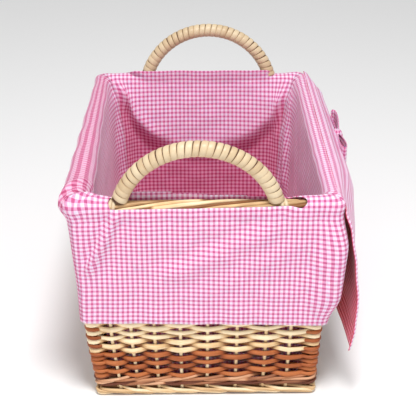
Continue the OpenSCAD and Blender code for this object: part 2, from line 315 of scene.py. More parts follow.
def peel_material():
    """Flat cane peel: a pale skin with fine lines along it, darker where its tone is high."""
    m = Nodes("cane_peel")
    line = m.noise(m.scaled_uv(40, 1500), 1.0, 3.0, 0.6)
    patch = m.noise(m.scaled_uv(30, 90), 1.0, 2.0)
    tone = m.tone()
    value = m.math("MULTIPLY_ADD", m.math("SUBTRACT", line, 0.5), 0.5, tone)
    value = m.math("MULTIPLY_ADD", m.math("SUBTRACT", patch, 0.5), 0.6, value, clamp=True)
    colour = m.ramp(value, [(0.0, (0.69, 0.555, 0.37)), (0.5, (0.57, 0.42, 0.25)), (1.0, (0.34, 0.19, 0.09))])
    m.set(Base_Color=colour)
    m.set(Roughness=m.math("MULTIPLY_ADD", line, 0.25, 0.32))
    m.bump(line, 0.0003, 0.5)
    return m.material


def core_material():
    """The dark rod inside a handle."""
    m = Nodes("dark_core")
    streak = m.noise(m.scaled_uv(40, 700), 1.0, 3.0)
    m.set(Base_Color=m.ramp(streak, [(0.2, (0.045, 0.018, 0.008)), (0.8, (0.16, 0.07, 0.03))]), Roughness=0.6)
    m.bump(streak, 0.0004, 0.6)
    return m.material


natural = willow("natural_willow", (0.93, 0.76, 0.50), (0.76, 0.51, 0.26), (0.24, 0.09, 0.025), 0.40)
brown = willow("brown_willow", (0.48, 0.145, 0.04), (0.31, 0.07, 0.014), (0.05, 0.008, 0.002))
buff = willow("buff_willow", (0.72, 0.42, 0.25), (0.46, 0.19, 0.085), (0.13, 0.03, 0.01))
NATURAL, BROWN, BUFF = (natural, "natural_willow"), (brown, "brown_willow"), (buff, "brown_willow")
PEEL, CORE = (peel_material(), "cane_peel"), (core_material(), "dark_core")
pink = gingham("pink_gingham", (0.53, 0.085, 0.24), (0.72, 0.32, 0.51), (0.80, 0.66, 0.80))
# painted shade: deeper, redder checks for the flap's inner face, standing in for cloth in shadow with light
# through it
pink_painted_shade = gingham("pink_gingham_painted_shade", (0.52, 0.012, 0.05), (0.74, 0.07, 0.14), (0.92, 0.27, 0.40))
PINK = (pink, "gingham")

# ---- the willow basket


def stake_place(k, i, length):
    """Where stake i stands along side k. The front's stakes bunch a little towards the left."""
    reach = length - WALL / 2
    u = (2 * i / (STAKES[k] + 1) - 1) * reach
    bunch = FRONT_BUNCH * max(0, 1 - (u / reach + 0.25) ** 2 / 0.55)
    return u - bunch if k == FRONT else u


CORNER_R = 10.0  # the radius at which the rods turn the wall's corners


def stations(z, doubled=False, corner=CORNER_R):
    """Places round the wall's middle line at height z. t counts stakes and corners, one doubled at will."""
    t, base, out = [], [], []
    count = 0.0
    for k in range(4):
        length, dist = half(k, z)
        for i in range(1, STAKES[k] + 1):
            u = stake_place(k, i, length)
            t.append(count)
            base.append(u * ALONG[k] + dist * OUT[k])
            out.append(OUT[k])
            count += 1
        extra = 1 if doubled and k == RIGHT else 0
        centre = (length - corner) * ALONG[k] + (dist - corner) * OUT[k]
        arc = ((0.0, -0.45), (0.25, -0.2), (0.5, extra / 2), (0.75, extra + 0.2), (1.0, extra + 0.45))
        for turn, at in arc:
            angle = turn * math.pi / 2
            d = math.cos(angle) * OUT[k] + math.sin(angle) * ALONG[k]
            t.append(count + at)
            base.append(centre + corner * d)
            out.append(d)
        count += 1 + extra
    t, base, out = np.array(t), np.array(base), np.array(out)
    t = np.concatenate([t[-5:] - count, t, t[:5] + count])
    base = np.vstack([base[-5:], base, base[:5]])
    out = np.vstack([out[-5:], out, out[:5]])
    return t, base, out, count


BULGE = 5.0
CUFF_BULGE = 0.4  # the share of the bulge that the cuff over it takes up


def bulge(points):
    """How far the wall has grown out to the left below the cuff, most of all at the front left corner."""
    x, y, z = points[..., 0], points[..., 1], points[..., 2]
    return BULGE * smooth(-x / 120) * smooth((70 - y) / 230) * smooth(z / 90) * smooth((165 - z) / 60)


def around(t, n, z, level, doubled=False, corner=CORNER_R):
    """Points at place t round the wall, n outside its middle line, at height z near level."""
    at, base, out, total = stations(level, doubled, corner)
    t = np.mod(t, total)
    b = np.stack([np.interp(t, at, base[:, i]) for i in (0, 1)], -1)
    o = np.stack([np.interp(t, at, out[:, i]) for i in (0, 1)], -1)
    z = np.broadcast_to(z, t.shape)
    xy = b + unit(o) * (n + LEAN * (z - level))[:, None]
    points = np.column_stack([xy, z])
    points[:, 0] -= bulge(points)
    return points


TOTAL = int(stations(0)[3])  # stakes and corners all round
CORNERS = np.cumsum([s + 1 for s in STAKES]) - 1
STRAND_AMP = 4.2  # how far a weaver swings to each side of the stakes
ROD_TALL, ROD_WIDE = 2.95, 2.1  # a woven rod's half height and half thickness
SWELL = 0.15  # how much thicker a rod is at its butt
POST_R = 3.2
POST_CLEAR = POST_R + ROD_WIDE
POST_IN = CORNER_R * (1 - math.sqrt(0.5))  # how far a post stands inside the square corner, on each side


def rod_run(total, low, high, span=(9, 19)):
    """Lengths of rod spliced end to end round the basket: each swells at its butt, and has its own tone."""
    starts = [0.0]
    while starts[-1] < total:
        starts.append(starts[-1] + rng.uniform(*span))
    starts = np.array(starts) * total / starts[-1]
    tones = rng.uniform(low, high, len(starts))
    offset = rng.uniform(0, total)

    def at(t):
        t = np.mod(t + offset, total)
        i = np.clip(np.searchsorted(starts, t, "right") - 1, 0, len(starts) - 2)
        share = (t - starts[i]) / (starts[i + 1] - starts[i])
        swell = 1 + SWELL * np.cos(2 * math.pi * (share - 0.12))
        return tones[i], swell

    return at


def wave(t, total, size):
    """A smooth wobble that closes on itself."""
    turns = (3, 7, 12, 19)
    value = sum(rng.uniform(-1, 1) * np.cos(2 * math.pi * (f * t / total + rng.uniform())) for f in turns)
    return size * value / 2


def near_corner(t):
    """1 at a corner post, and 0 from the next stake on."""
    gap = np.abs(t[:, None] - CORNERS[None, :])
    gap = np.minimum(gap, TOTAL - gap).min(1)
    return np.cos(math.pi / 2 * np.clip(gap, 0, 1)) ** 2


def weaver(shape, z, phase, low, high):
    """One row of randing: the rod passes in front of every other stake, all the way round."""
    t = np.arange(0, TOTAL, 1 / 6)
    swing = np.cos(math.pi * (t + phase))
    swing = 0.35 * swing + 0.65 * 2 / math.pi * np.arcsin(swing)
    amp = STRAND_AMP + (POST_CLEAR - STRAND_AMP) * near_corner(t)
    tone, swell = rod_run(TOTAL, low, high)(t)
    jolt = np.append(rng.uniform(-0.8, 0.8, TOTAL), 0)
    jolt[-1] = jolt[0]
    height = z + wave(t, TOTAL, 0.8) + np.interp(t, np.arange(TOTAL + 1), jolt)
    path = around(t, amp * swing, height, z)
    flat = 1 + 0.17 * swing
    tone = tone + 0.9 * smooth((0.35 - swing) / 0.8)  # painted shade: darker where it passes behind a stake
    shape.tube(path, ROD_WIDE * swell, ROD_TALL * swell * flat, tone, closed=True)


def packing(shape, z, corner):
    """A short brown rod round a corner post, in the row where the weaver passes inside it."""
    half_run, tucked = 0.95, 3.2  # its length to each side in stakes, and how far inside the wall its ends go
    t = np.linspace(corner - half_run, corner + half_run, 15)
    bend = np.clip(np.cos(math.pi / 2 * (t - corner) / half_run), 0, 1) ** 1.2
    n = -tucked + (POST_CLEAR + tucked) * bend
    size = 0.25 + 0.7 * bend ** 0.7
    path = around(t, n, z + rng.uniform(-0.3, 0.3), z)
    shape.tube(path, ROD_WIDE * size, ROD_TALL * size, rng.uniform(0.0, 0.6))


def woven_band(name, lo, hi, rows, first, look, low, high):
    """A band of randing between lo and hi. Its tones run from low to high; first counts the rows below it."""
    shape, pack = Shape(), Shape()
    pitch = (hi[2] - lo[2]) / rows
    for r in range(rows):
        z = lo[2] + (r + 0.5) * pitch
        phase = (r + first + 1) % 2
        weaver(shape, z, phase, low, high)
        for corner in CORNERS:
            if (corner + phase) % 2 == 1:
                packing(pack, z, corner)
    shape.build(name, look, replaces=[name + "_" + side for side in SIDES])
    pack.build(name + "_corner_packing", BROWN)


def waling(shape, z, slant, amp, wide, tall, shift, low, high):
    """Three rods that each pass outside two stakes and inside one, laid over each other in turn."""
    rods = 3
    outside = (rods - 1) / rods
    total, corner = TOTAL + 1, 7.0  # one corner counts twice, so that the pattern of three closes on itself
    corner_at = np.concatenate([CORNERS[:1], CORNERS[1:2] + 0.5, CORNERS[2:] + 1])
    t = np.arange(0, total, 1 / 6)
    for j in range(rods):
        phase = np.mod((t + j) / rods + shift, 1)
        outer = phase < outside
        run = np.where(outer, phase / outside, (phase - outside) / (1 - outside))
        swing = np.where(outer, 1, -1) * np.sin(math.pi * run) ** 0.7
        rise = np.where(outer, 2 * run - 1, 1 - 2 * run)
        tone, swell = rod_run(total, low, high, span=(3, 8))(t)
        gap = np.abs(t[:, None] - corner_at[None, :]).min(1)
        push = np.cos(math.pi / 2 * np.clip(gap / 1.1, 0, 1)) ** 2 * np.where(swing > 0, 1.2, 0)
        path = around(t, (amp + push) * swing, z + slant * rise + wave(t, total, 0.3), z, True, corner)
        # painted shade: darker where the rod passes inside the stakes
        tone = tone + 0.8 * smooth((0.3 - swing) / 0.8)
        shape.tube(path, wide * swell, tall * swell, tone, closed=True)


def basket_walls():
    """From the foot upward: both woven bands, the waling under and over them, and the foot border."""
    woven_band("brown_weave", brown_lo, brown_hi, BROWN_ROWS, 0, BROWN, -0.1, 0.55)
    woven_band("natural_weave", natural_lo, natural_hi, NATURAL_ROWS, BROWN_ROWS, NATURAL, -0.35, 0.4)

    low = Shape()
    quarter = (low_wale_hi[2] - low_wale_lo[2]) / 4
    rod = dict(slant=3.3, amp=4.0, wide=1.9, tall=2.0, low=0.0)
    waling(low, low_wale_lo[2] + quarter + 1.4, shift=0.0, high=1.5, **rod)
    waling(low, low_wale_lo[2] + 3 * quarter, shift=0.45, high=1.4, **rod)
    low.build("lower_waling", BUFF, replaces=["lower_wale"])

    up = Shape()
    rod = dict(slant=2.3, amp=4.2, wide=2.2, tall=2.7, low=0.1, high=0.6)
    waling(up, up_wale_lo[2] + quarter, shift=0.2, **rod)
    waling(up, up_wale_lo[2] + 3 * quarter, shift=0.7, **rod)
    up.build("upper_waling", NATURAL, replaces=["upper_wale"])

    foot_border()


def foot_border():
    """Each stake's foot is turned down and laid over the next ones, slanting down to the right."""
    foot = Shape()
    top = foot_hi[2] - 1.5
    corner = 1.2
    for i in range(TOTAL):
        run = np.linspace(0, 1, 16)
        length = rng.uniform(2.9, 3.4)
        t = i - 0.1 + length * run
        n = -1.5 + 6.0 * smooth(run / 0.28) - 1.3 * run - 4.5 * smooth((run - 0.86) / 0.14)
        z = top - (top - 2.5) * np.clip(run * 1.08, 0, 1) ** 0.9 + rng.uniform(-0.3, 0.3)
        size = (2.25 - 0.6 * run) * rng.uniform(0.9, 1.06)
        # painted shade: darker where each rod comes out from under the ones before it
        tone = rng.uniform(0.1, 0.6) + 0.5 * smooth(1 - run / 0.3)
        foot.tube(around(t, n, z, 6.0, corner=corner), size, size, tone)
    t = np.arange(0, TOTAL, 1 / 4)
    for z, n in ((2.6, 0.0), (6.0, -2.6), (9.0, -3.0)):  # painted shade: rods behind in the darkest colour, that close the gaps
        foot.tube(around(t, n, z, z, corner=corner), 2.4, 2.4, 1.4, closed=True)
    foot.build("foot_border_rods", NATURAL, replaces=["foot_border"])


def uprights():
    """The stakes that the rods weave between, and the four thicker corner posts."""
    stakes = Shape()
    radius, slant = 2.15, (0.3, 0.2, 0)
    for count in range(TOTAL):
        if count in CORNERS:
            continue
        lean = 0.02 * rng.normal(0, 0.35, 2)[0]
        path = np.vstack([around(np.array([count + lean]), 0.0, h, h) for h in np.linspace(2.5, 252, 14)])
        stakes.tube(path, radius, radius, rng.uniform(0.0, 0.35), up=slant)
    stakes.build("stakes", NATURAL, replaces=["stakes_" + side for side in SIDES])
    for k, place in enumerate(("front_right", "back_right", "back_left", "front_left")):
        post = Shape()
        path = []
        for h in np.linspace(3.2, 253, 12):
            length, dist = half(k, h)
            path.append([*((length - POST_IN) * ALONG[k] + (dist - POST_IN) * OUT[k]), h])
        post.tube(np.array(path), POST_R, POST_R, 0.6, sides=12, up=slant)
        post.build("post_" + place, BROWN, replaces=["corner_post_" + place])


def rim_border():
    """Rods laid side by side and rolled over the rim at a long slant."""
    shape = Shape()
    rods, turns, corner = 7, 6, 9.0
    half_wide, half_tall, rod_r = 6.6, 4.4, 2.3  # of the oval that the rods wind round, and of a rod
    t = np.arange(0, TOTAL, 1 / 6)
    middle = RIM_Z + 5.6
    for j in range(rods):
        angle = 2 * math.pi * (turns * t / TOTAL + j / rods) + wave(t, TOTAL, 0.12)
        tone, swell = rod_run(TOTAL, 0.15, 1.2, span=(6, 12))(t)
        reach = 1 + wave(t, TOTAL, 0.09)
        n, z = half_wide * reach * np.cos(angle), middle + half_tall * reach * np.sin(angle)
        shape.tube(around(t, n, z, middle, corner=corner), rod_r * swell, rod_r * swell, tone, closed=True)
    rim_nodes = ["rim_rods_outer", "rim_rods_inner", "rim_rods_top"]
    shape.build("rim_border", NATURAL, replaces=rim_nodes)


def base():
    """The woven bottom: six sticks from front to back, and rods woven across them."""
    sticks = Shape()
    stick_lo, stick_hi = node_box("base_sticks")
    radius = (stick_hi[2] - stick_lo[2]) / 2
    level = (stick_hi[2] + stick_lo[2]) / 2
    xs = np.linspace(stick_lo[0] + radius, stick_hi[0] - radius, 6)
    y = np.linspace(stick_lo[1], stick_hi[1], 12)
    for x in xs:
        path = np.column_stack([x + rng.normal(0, 0.3, 12), y, np.full(12, level)])
        sticks.tube(path, radius, radius, rng.uniform(0.1, 0.4))
    sticks.build("base_stick_rods", NATURAL, replaces=["base_sticks"])
    weave = Shape()
    weave_lo, weave_hi = node_box("base_weave")
    rows = 80
    pitch = (weave_hi[1] - weave_lo[1]) / rows
    x = np.linspace(weave_lo[0], weave_hi[0], 45)
    for r in range(rows):
        swing = np.cos(math.pi * ((x - xs[0]) / (xs[1] - xs[0]) + r))
        amp = np.where(swing < 0, 4.6, 4.9)
        path = np.column_stack([x, np.full(45, weave_lo[1] + (r + 0.5) * pitch), level + amp * swing])
        weave.tube(path, pitch * 0.47, 1.9, rng.uniform(0.1, 0.6), sides=6)
    weave.build("base_weave_rods", NATURAL, replaces=["base_weave"])


# ---- handles

ARCH_Z, ARCH_R = 245.0, 91.0  # the arch's centre height, and the radius of the grip's middle line
GRIP_R = 9.2
HANDLE_LEAN = math.radians(5)
HANDLE_X = (wrap_lo[0] + wrap_hi[0]) / 2
RIM_Y = HALF_L + LEAN * RIM_Z
TURNS = 30  # of the peel round the grip
WRAP_END = math.radians(74)  # how far the peel goes down each leg, from the arch's top


def on_arch(end, angle, radius, turn):
    """A point on the grip: angle from the arch's top, radius from its middle line, turn round the grip."""
    sx = 1 if end == FRONT else -1
    reach = ARCH_R + radius * np.cos(turn)
    x = HANDLE_X + reach * np.sin(angle)
    y = radius * np.sin(turn)
    z = ARCH_Z + reach * np.cos(angle) - RIM_Z
    back = -RIM_Y + y * math.cos(HANDLE_LEAN) - z * math.sin(HANDLE_LEAN)
    height = RIM_Z + z * math.cos(HANDLE_LEAN) + y * math.sin(HANDLE_LEAN)
    return np.stack(np.broadcast_arrays(sx * x, sx * back, height), -1)


def handle_core(end):
    """The dark rod inside the peel, thin where it shows, and its tails driven down into the rim."""
    core = Shape()
    core_end = math.radians(78)
    angle = np.linspace(-core_end, core_end, 60)
    fat = 5.2 + 3.0 * smooth((WRAP_END + 0.02 - np.abs(angle)) / 0.04)
    turn = np.linspace(0, 2 * math.pi, 17)
    points = on_arch(end, angle[:, None], fat[:, None], turn[None, :-1])
    core.grid(points, uv_grid(angle * ARCH_R, turn * 8), 0.5, wrap_cols=True, caps=True)
    for s in (-1, 1):
        foot = on_arch(end, s * math.radians(77.5), 0.0, 0.0)
        down = foot + np.array([[0, 0, 3.0], [0, 0, -6.0], [0, 0, -22.0]])
        core.tube(down, 4.2, 2.2, 0.6, up=(0, 1, 0))
    core.build("handle_core_rod_" + SIDES[end], CORE, replaces=["handle_core_" + SIDES[end]])


def handle_peel(end):
    """One strip of cane peel wound round the grip. Each turn has its own slide, width and tone."""
    peel = Shape()
    per_turn = 30
    at = np.arange(TURNS * per_turn + 1) / per_turn  # how many turns have been wound

    def by_turn(low, high):
        return np.interp(at, np.arange(TURNS + 2), rng.uniform(low, high, TURNS + 2))

    turn = at * 2 * math.pi
    slide, width = by_turn(-0.07, 0.07), by_turn(0.90, 1.06)
    pitch = 2 * (WRAP_END - 0.02) / TURNS
    middle = -WRAP_END + 0.02 + pitch * (at + slide) - pitch * 0.1
    across = np.array([-1, -0.97, -0.8, -0.4, 0, 0.4, 0.8, 0.97, 1, 0.9, 0, -0.9])
    lift = np.array([-0.65, -0.25, 0.0, 0.22, 0.3, 0.22, 0.0, -0.25, -0.65, -0.95, -0.95, -0.95])
    slim = ARCH_R / (ARCH_R + GRIP_R * np.cos(turn))  # the turns part round the outside of the bend
    angle = middle[:, None] + pitch / 2 * (width * slim)[:, None] * across[None, :]
    angle = np.clip(angle, -WRAP_END, WRAP_END)
    points = on_arch(end, angle, GRIP_R - 0.3 + lift[None, :], turn[:, None])
    band = np.concatenate([across, across[:1]]) * 4
    uv = uv_grid(turn * GRIP_R, band)
    edge = np.clip((np.abs(across) - 0.75) * 1.6, 0, 0.4)  # painted shade: darker towards the strip's edges
    peel.grid(points, uv, by_turn(0.0, 0.55)[:, None] + edge[None, :], wrap_cols=True, caps=True)
    peel.build("handle_peel_" + SIDES[end], PEEL, replaces=["handle_wrap_" + SIDES[end]])


def handle_lashing(end):
    """Two loops of peel over the rim beside each leg."""
    sx = 1 if end == FRONT else -1
    lash = Shape()
    centre = (lash_lo[0] + lash_hi[0]) / 2
    reach = (lash_hi[0] - lash_lo[0]) / 2 - 3
    a = np.linspace(-0.35, math.pi + 0.35, 22)
    for s in (-1, 1):
        for j, shift in enumerate((-3.4, 1.2)):
            x = centre + s * (reach + shift) + s * 2.0 * np.cos(a)
            z = RIM_Z + 5.0 + (8.6 - 0.8 * j) * np.sin(a)
            path = np.column_stack([sx * x, sx * (-RIM_Y - 8.2 * np.cos(a)), z])
            lash.tube(path, 1.5, 2.4, rng.uniform(0.0, 0.3), up=(1, 0, 0))
    lash.build("handle_binding_" + SIDES[end], PEEL, replaces=["handle_lashing_" + SIDES[end]])


# ---- cloth

CLOTH_R = 10.5  # the cloth's distance from the wall's middle line
ROLL_Z = 262.5  # where the walls end and the roll over the rim starts
HEM_Z, HEM_OUT = cuff_lo[2] + 2.0, 9.7  # the cuff's hem, and how far it is outside the wall's middle line
FLOOR_Z = floor_hi[2] + 0.3
CLOTH_T = 0.9
ROW_STEP = 3.5  # from one row of points to the next, along the cloth
ROLL_S = ROLL_Z - FLOOR_Z  # where the roll over the rim starts, along the cloth
CUFF_S = ROLL_S + math.pi * CLOTH_R  # where the cuff starts


def profile(hem_z):
    """The liner's section: s along it from the floor, n outside the wall's middle line, z, and its normal."""
    rows = []
    for h in np.linspace(FLOOR_Z, ROLL_Z, int(ROLL_S / ROW_STEP)):
        rows.append((h - FLOOR_Z, -CLOTH_R, h, -1.0, 0.0))
    for a in np.linspace(0, math.pi, 15)[1:]:
        out, up = -math.cos(a), math.sin(a)
        rows.append((ROLL_S + a * CLOTH_R, CLOTH_R * out, ROLL_Z + CLOTH_R * up, out, up))
    for h in np.linspace(ROLL_Z, hem_z, int((ROLL_Z - hem_z) / ROW_STEP) + 1)[1:]:
        n = CLOTH_R + (HEM_OUT - CLOTH_R) * smooth((ROLL_Z - h) / (ROLL_Z - HEM_Z))
        rows.append((CUFF_S + ROLL_Z - h, n, h, 1.0, 0.0))
    return np.array(rows).T


def corner_radius(n, z):
    """The liner rounds its inner corners loosely lower down, and lies close round the outer ones."""
    inner = 14.0 + 18.0 * smooth((ROLL_Z - 12 - z) / 70)
    return inner + (10.0 - inner) * smooth((n + CLOTH_R) / (2 * CLOTH_R))


def wrap_point(k, w, n, z, rad):
    """The point w along side k, turning the corner with radius rad and then following the next side."""
    length, dist = half(k, z)
    straight, depth = length + n - rad, dist + n - rad
    s = np.sign(w)
    arc = np.clip((np.abs(w) - straight) / rad, 0, math.pi / 2)
    beyond = np.clip(np.abs(w) - straight - rad * math.pi / 2, 0, None)
    u = np.clip(np.abs(w), 0, straight) + rad * np.sin(arc)
    d = depth + rad * np.cos(arc) - beyond
    xy = (s * u)[..., None] * ALONG[k] + d[..., None] * OUT[k]
    return np.concatenate([xy, np.broadcast_to(z, u.shape)[..., None]], -1)


def ridge(u, s, a, b, width, height, fade=0.25):
    """A fold from a to b in flat cloth, round across and fading at its ends."""
    a, b = np.array(a, float), np.array(b, float)
    d = b - a
    length = np.linalg.norm(d)
    along = ((u - a[0]) * d[0] + (s - a[1]) * d[1]) / length ** 2
    across = ((u - a[0]) * d[1] - (s - a[1]) * d[0]) / length
    ends = smooth(along / fade + 0.5) * smooth((1 - along) / fade + 0.5)
    return height * np.exp(-((across / width) ** 2)) * ends


def ripple(u, s, size, seed, scale=55.0):
    """Soft unevenness of loose cotton."""
    r = np.random.default_rng(seed)
    total = np.zeros(np.broadcast(u, s).shape)
    for i in range(9):
        angle, wave_length = r.uniform(0, math.pi), scale * r.uniform(0.5, 1.6)
        at = 2 * math.pi * (u * math.cos(angle) + s * math.sin(angle)) / wave_length
        total += np.sin(at + r.uniform(0, 6.3)) / 3
    return size * total


# The edge under which the back falls away again: across the back as seen from outside, and its height there.
SAG_U = (-143, -131, -116, -98, -78, -52, -20, 15, 42, 62, 80, 95, 107, 116)
SAG_Z = (262, 250, 236, 219, 203, 189, 182, 181, 185, 193, 206, 222, 238, 254)
HEM_RISE = 7.0  # how far the cuff's hem is drawn up at the front left corner
DEEP_SHADE_TINT = (0.2, 0.08, 0.42, 0.14)  # painted shade: how much richer and darker each side's colour is, low down inside
LEFT_SHADE_TINT = 0.25  # painted shade, the same for the left side's roll and cuff
SLOT_SHARE = 0.74  # the share of a short side's columns that run past its slot
TURN = 35.0  # how far a short side's cuff goes on round the corner


def slot_columns(s, end, slot):
    """Where a slotted side's columns run, the slot's ends in each row, and which faces pass it."""
    a = np.concatenate([
        np.linspace(-1, -SLOT_SHARE, 14)[:-1],
        np.linspace(-SLOT_SHARE, SLOT_SHARE, 60),
        np.linspace(SLOT_SHARE, 1, 14)[1:],
    ])
    point = np.clip(((s - CUFF_S + 10) / 12) ** 2, 0, 1)  # the slot's ends come to soft points
    lo, hi = slot[0] + 5 * point, slot[1] - 15 * point
    left = lo + (a + SLOT_SHARE) / (1 - SLOT_SHARE) * (end + lo)
    middle = lo + (a + SLOT_SHARE) / (2 * SLOT_SHARE) * (hi - lo)
    right = hi + (a - SLOT_SHARE) / (1 - SLOT_SHARE) * (end - hi)
    w = np.where(np.abs(a) <= SLOT_SHARE, middle, np.where(a < 0, left, right))
    return w, lo, hi, np.abs((a[1:] + a[:-1]) / 2) < SLOT_SHARE


def cut_slot(w, s, nn, zz, lo, hi, rise):
    """Opens the slot round the handle: its inner edge stands up, its outer edge lifts towards the right."""
    height = rise[0] + (rise[1] - rise[0]) * smooth((w - lo) / (hi - lo))
    mid_s = (s[:-1, :-1] + s[1:, 1:]) / 2
    gap = (mid_s > ROLL_S + (height[:-1, :-1] + height[1:, 1:]) / 2) & (mid_s < CUFF_S - 3.0)
    depth = np.minimum(w - lo, hi - w)
    stand = smooth(depth / 16) * (s > ROLL_S) * (s < ROLL_S + height + 3)
    up = np.minimum(s - ROLL_S, height) - 0.3 * np.cos(w / 11.0)
    nn = nn * (1 - stand) - (CLOTH_R + 0.08 * up - 0.5 * np.sin(w / 17.0) * smooth(up / 10)) * stand
    zz = zz * (1 - stand) + (ROLL_Z + up) * stand
    lift = 3.5 * np.clip((w - lo) / (hi - lo), 0, 1) ** 2 * smooth(depth / 14)
    zz = zz + lift * np.exp(-(((s - CUFF_S + 3) / 14) ** 2)) * (s > CUFF_S - 8)
    return gap, nn, zz


def side_sheet(name, k, hem_z, folds, replaces, slot=None, turned=0, rise=None):
    """One side of the liner in one length of cloth: up the inside, over the rim and down outside as the cuff.

    turned is the end, -1 or 1, where the cuff goes on round the corner. rise is how far the slot's inner edge
    stands up at the slot's left and right end.
    """
    s, n, z, pn, pz = (values[:, None] for values in profile(hem_z))
    rad = corner_radius(n, z)
    end = half(k, z)[0] + n - rad + rad * math.pi / 4
    if slot:
        w, lo, hi, passing = slot_columns(s, end, slot)
    else:
        w = np.linspace(-1, 1, 105) * end
    if turned:
        more = np.linspace(0, 1, 12)[1:]
        extra = turned * (end + more * (rad * math.pi / 4 + TURN) * smooth((s - CUFF_S + 8) / 8))
        beyond = np.zeros(more.size, bool)
        w = np.hstack([w, extra] if turned > 0 else [extra[:, ::-1], w])
        passing = np.hstack([passing, beyond] if turned > 0 else [beyond, passing])
    ss = np.broadcast_to(s, w.shape)
    loose = smooth((end - np.abs(w)) / 24)
    bump = folds(w, ss, end, loose) + corner_push(k, w, ss, end)
    nn, zz = n + bump * pn, z + bump * pz
    if k in (FRONT, LEFT):
        to_corner = 0.5 + (w / (2 * end)) * (1 if k == LEFT else -1)
        zz = zz + HEM_RISE * smooth((ss - CUFF_S) / 110) * to_corner
    keep = None
    if slot:
        gap, nn, zz = cut_slot(w, ss, nn, zz, lo, hi, rise)
        keep = ~(passing & gap)
    away = smooth(np.abs(w) / end * 4 - 3)
    points = wrap_point(k, w + np.sign(w) * (nn - n) * away, nn, zz, rad)
    points[..., 0] -= CUFF_BULGE * bulge(points) * (ss > CUFF_S)
    # painted shade: deeper pink low down inside each side, under the back's sag edge, and on the left side's
    # roll and cuff
    deep_shade = smooth((ROLL_Z - 20 - zz) / 120) * (ss < ROLL_S)
    if k == BACK:
        deep_shade = smooth((np.interp(w, SAG_U, SAG_Z) + 12 - zz) / 40) * (ss < ROLL_S)
    shaded = LEFT_SHADE_TINT * smooth((ss - ROLL_S) / 12) if k == LEFT else 0.0
    shape = Shape()
    shape.grid(points, np.stack([w, ss], -1) * MM, 0.5 + DEEP_SHADE_TINT[k] * deep_shade + shaded, keep=keep)
    piece = shape.build(name, PINK, body="liner", replaces=replaces, recalc=False)
    thicken(piece)
    return piece


def thicken(piece, thickness=CLOTH_T):
    """Gives a sheet its cloth's thickness, half to each side."""
    solid = piece.modifiers.new("thickness", "SOLIDIFY")
    solid.thickness = thickness * MM
    solid.offset = 0


def corner_push(k, u, s, end):
    """How far the loose cloth stands off at the corners. Both sheets that meet there move alike."""
    total = np.zeros(np.broadcast(u, s).shape)
    for sign, corner in ((1, k), (-1, (k - 1) % 4)):
        gap = np.abs(end - sign * u)
        sag = smooth(s / 50) * smooth((ROLL_S + 4 - s) / 30)
        if corner in (RIGHT, BACK):
            total += 7.0 * sag * np.exp(-((gap / 30) ** 2))
        if corner == LEFT:
            total += 1.4 * smooth((s - CUFF_S - 5) / 20) * np.exp(-((gap / 30) ** 2))
            puff = np.exp(-((s - ROLL_S - 22) / 17) ** 2) * np.exp(-((gap / 24) ** 2))
            total += puff * (8.0 + 1.8 * np.sin(gap / 2.6 + s / 4.2))
        if corner == FRONT:
            total += 3.0 * np.exp(-((s - ROLL_S - 20) / 14) ** 2) * np.exp(-((gap / 22) ** 2))
    return total


CUFF_SWING = 9.5


def cuff_swing(v):
    """How far down the cuff, at v, its free right corner stands off the wall."""
    return CUFF_SWING * (smooth((v - 4) / 50) * smooth((157 - v) / 45))


def front_folds(u, s, end, loose):
    """Creases down from the handle's left leg, slack ones across, and a sewn casing under the rim."""
    v = s - CUFF_S
    d = ripple(u, s, 0.5, 3)
    d = d + ridge(u, v, (-99, 2), (-133, 84), 5, 6.4) - ridge(u, v, (-107, 0), (-142, 84), 4, 3.0)
    d = d - ridge(u, v, (-90, 10), (-116, 96), 9, 1.8)
    d = d + ridge(u, v, (80, 22), (-45, 92), 13, 3.2) - ridge(u, v, (58, 16), (-70, 84), 9, 1.6)
    d = d + ridge(u, v, (112, 40), (0, 116), 12, 1.8) + ridge(u, v, (140, 60), (96, 120), 8, 1.5)
    d = d - ridge(u, v, (-160, 14), (160, 14), 1.5, 1.0, 0.02)
    d = d + 0.3 * np.sin(u / 2.9) * np.exp(-(((v - 14) / 6.0) ** 2))
    return d * loose + cuff_swing(v) * smooth((u - end + 34) / 30) * (v > 0)


def back_folds(u, s, end, loose):
    """The back hangs forward from the rim like a slack bag, and falls back again under a curved edge."""
    z = FLOOR_Z + s
    edge = np.interp(u, SAG_U, SAG_Z)
    above = np.clip((ROLL_Z + 4 - z) / (ROLL_Z + 4 - edge), 0, 1)
    under = smooth(1 - (edge - z) / 40) * 0.85 + 0.15 * smooth(1 - (edge - z) / 160)
    depth = 9.0 + 11.0 * smooth((ROLL_Z - edge) / 75)
    d = depth * np.where(z > edge, above ** 1.15, under) * (s < ROLL_S + 4)
    d = d + ripple(u, s, 0.6, 5)
    d = d + ridge(u, s, (128, 244), (70, 176), 7, 3.5) - ridge(u, s, (-138, 250), (-88, 178), 9, 2.5)
    return d * smooth((end - np.abs(u)) / 10)


def left_folds(u, s, end, loose):
    """A full roll over the rim, fullest towards the front, and one slack crease."""
    roll = np.exp(-((s - ROLL_S - 20) / 24) ** 2) * smooth((u + end) / (2 * end))
    d = ripple(u, s, 0.6, 7) + ridge(u, s, (150, CUFF_S + 8), (60, CUFF_S + 120), 14, 2.0)
    return d * loose + 9.0 * roll * loose


def right_folds(u, s, end, loose):
    """Slack cloth that is gathered towards both corners."""
    d = ripple(u, s, 0.6, 9)
    d = d + ridge(u, s, (-185, 236), (-120, 130), 13, 5) + ridge(u, s, (185, 244), (150, 100), 10, 6)
    return d * loose


